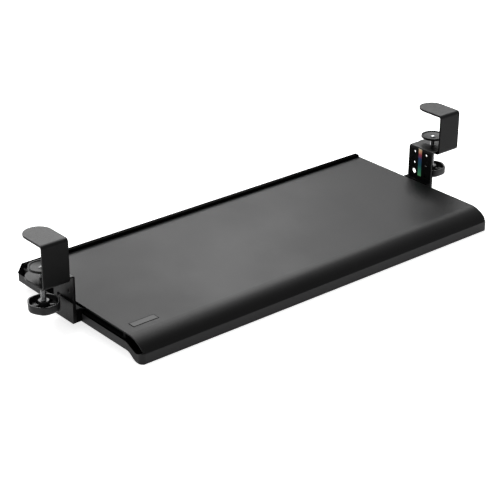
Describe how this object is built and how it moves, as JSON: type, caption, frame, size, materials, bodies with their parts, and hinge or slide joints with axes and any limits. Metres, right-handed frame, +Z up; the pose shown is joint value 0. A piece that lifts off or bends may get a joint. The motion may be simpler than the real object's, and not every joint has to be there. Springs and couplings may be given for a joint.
{
  "type": "keyboard tray",
  "caption": "Under-desk keyboard tray with a waterfall front edge and rear lip, on roller carriages hung from screw clamps that grip the desk's front edge.",
  "frame": {"origin": "under the middle of the whole assembly, at the level of the lowest edge of the tray's front strip", "axes": "+X to the right across the tray, +Y away from the user towards the desk, +Z up"},
  "size_m": [0.7972, 0.297, 0.144],
  "materials": {
    "tray_black": "satin black moulding with a fine grain",
    "pan_black": "satin black moulding, slightly lighter",
    "lip_black": "gloss black",
    "bracket_black": "black powder coat on steel",
    "zinc": "zinc plated steel",
    "knob_black": "black moulded nylon",
    "carriage_black": "black acetal",
    "roller_nylon": "black nylon",
    "stop_rubber": "black rubber",
    "label_colours": "printed film with a colour ramp"
  },
  "bodies": {
    "desk_side": {"hanger_plate_left": "bracket_black", "backing_plate_left": "bracket_black", "height_label_left": "label_colours", "carriage_block_left": "carriage_black", "carriage_screws_left": "bracket_black", "roller_pins_left": "zinc", "clamp_frame_left": "bracket_black", "jaw_pad_left": "stop_rubber", "threaded_bush_left": "bracket_black", "hanger_plate_right": "bracket_black", "backing_plate_right": "bracket_black", "height_label_right": "label_colours", "carriage_block_right": "carriage_black", "carriage_screws_right": "bracket_black", "roller_pins_right": "zinc", "clamp_frame_right": "bracket_black", "jaw_pad_right": "stop_rubber", "threaded_bush_right": "bracket_black"},
    "tray": {"tray_deck": "tray_black", "base_pan": "pan_black", "rear_lip": "lip_black", "badge_plate": "tray_black", "front_cross_beam": "zinc", "rear_cross_beam": "zinc", "pan_screws": "zinc", "side_rail_left": "bracket_black", "rail_stops_left": "stop_rubber", "side_rail_right": "bracket_black", "rail_stops_right": "stop_rubber"},
    "front_roller_left": {"front_roller_left": "roller_nylon"},
    "rear_roller_left": {"rear_roller_left": "roller_nylon"},
    "pad_left": {"clamp_pad_left": "bracket_black"},
    "screw_left": {"clamp_screw_left": "zinc", "knob_left": "knob_black"},
    "front_roller_right": {"front_roller_right": "roller_nylon"},
    "rear_roller_right": {"rear_roller_right": "roller_nylon"},
    "pad_right": {"clamp_pad_right": "bracket_black"},
    "screw_right": {"clamp_screw_right": "zinc", "knob_right": "knob_black"}
  },
  "joints": [
    {"name": "tray_slide", "type": "slide", "parent": "desk_side", "child": "tray", "axis": [0, -1, 0], "range_m": [-0.091, 0.097]},
    {"name": "front_roller_spin_left", "type": "hinge", "parent": "desk_side", "child": "front_roller_left", "pos_m": [-0.32565, -0.007, 0.026], "axis": [1, 0, 0], "range_deg": [-1737, 1737]},
    {"name": "rear_roller_spin_left", "type": "hinge", "parent": "desk_side", "child": "rear_roller_left", "pos_m": [-0.32565, 0.029, 0.026], "axis": [1, 0, 0], "range_deg": [-1737, 1737]},
    {"name": "pad_travel_left", "type": "slide", "parent": "desk_side", "child": "pad_left", "axis": [0, 0, 1], "range_m": [-0.007, 0.024]},
    {"name": "screw_turn_left", "type": "hinge", "parent": "pad_left", "child": "screw_left", "pos_m": [-0.3754, 0.0155, 0.07], "axis": [0, 0, 1], "range_deg": [-2100, 7000]},
    {"name": "front_roller_spin_right", "type": "hinge", "parent": "desk_side", "child": "front_roller_right", "pos_m": [0.32565, -0.007, 0.026], "axis": [1, 0, 0], "range_deg": [-1737, 1737]},
    {"name": "rear_roller_spin_right", "type": "hinge", "parent": "desk_side", "child": "rear_roller_right", "pos_m": [0.32565, 0.029, 0.026], "axis": [1, 0, 0], "range_deg": [-1737, 1737]},
    {"name": "pad_travel_right", "type": "slide", "parent": "desk_side", "child": "pad_right", "axis": [0, 0, 1], "range_m": [-0.007, 0.024]},
    {"name": "screw_turn_right", "type": "hinge", "parent": "pad_right", "child": "screw_right", "pos_m": [0.3754, 0.0155, 0.07], "axis": [0, 0, 1], "range_deg": [-2100, 7000]}
  ],
  "couplings": [
    {"joint": "front_roller_spin_left", "follows": "tray_slide", "rad_per_m": 303.03},
    {"joint": "rear_roller_spin_left", "follows": "tray_slide", "rad_per_m": 303.03},
    {"joint": "screw_turn_left", "follows": "pad_travel_left", "rad_per_m": 5026.5},
    {"joint": "front_roller_spin_right", "follows": "tray_slide", "rad_per_m": 303.03},
    {"joint": "rear_roller_spin_right", "follows": "tray_slide", "rad_per_m": 303.03},
    {"joint": "screw_turn_right", "follows": "pad_travel_right", "rad_per_m": 5026.5}
  ]
}
